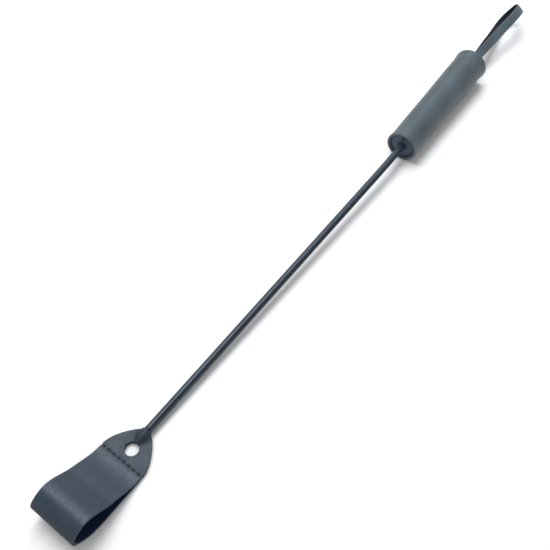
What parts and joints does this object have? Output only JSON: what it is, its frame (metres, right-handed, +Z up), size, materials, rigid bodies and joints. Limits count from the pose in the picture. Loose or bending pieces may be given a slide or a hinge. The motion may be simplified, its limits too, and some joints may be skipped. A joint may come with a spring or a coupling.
{
  "type": "riding crop",
  "caption": "Short riding crop: leather-covered shaft and flared grip, doubled wrist strap at the top and a folded, stitched leather keeper with a punched hole.",
  "frame": {"origin": "on the table under the middle of the crop's length and width, lying at rest", "axes": "+X from the keeper to the hand loop, +Y across the keeper's width, +Z up from the table"},
  "size_m": [0.5901, 0.0354, 0.0288],
  "materials": {
    "fibreglass": "smooth drawn rod",
    "shaft_leather": "semi-matte slate blue-grey",
    "grip_leather": "semi-matte, fine grain",
    "disc_leather": "matte",
    "keeper_leather": "semi-matte, soft sheen",
    "loop_leather": "semi-matte",
    "waxed_thread": "waxed",
    "turned_wood": "turned, unvarnished"
  },
  "bodies": {
    "stick": {"shaft_core": "fibreglass", "shaft_sleeve": "shaft_leather", "grip_core": "turned_wood", "grip_cover": "grip_leather", "grip_bottom_disc": "disc_leather", "grip_top_disc": "disc_leather", "loop_pin": "turned_wood", "hand_loop_tails": "loop_leather", "keeper_root_front": "keeper_leather", "keeper_root_back": "keeper_leather"},
    "keeper": {"keeper_strap": "keeper_leather", "keeper_stitching": "waxed_thread"},
    "hand_loop": {"hand_loop": "loop_leather"}
  },
  "joints": [
    {"name": "keeper_bend", "type": "hinge", "parent": "stick", "child": "keeper", "pos_m": [-0.226, 0, 0.0017], "axis": [0, 1, 0], "range_deg": [-70, 70], "stiffness_Nm_per_rad": 0.2},
    {"name": "hand_loop_bend", "type": "hinge", "parent": "stick", "child": "hand_loop", "pos_m": [0.2015, 0.00408, 0.01443], "axis": [-0.0345, 0.8185, 0.5735], "range_deg": [-75, 75], "stiffness_Nm_per_rad": 0.06}
  ]
}
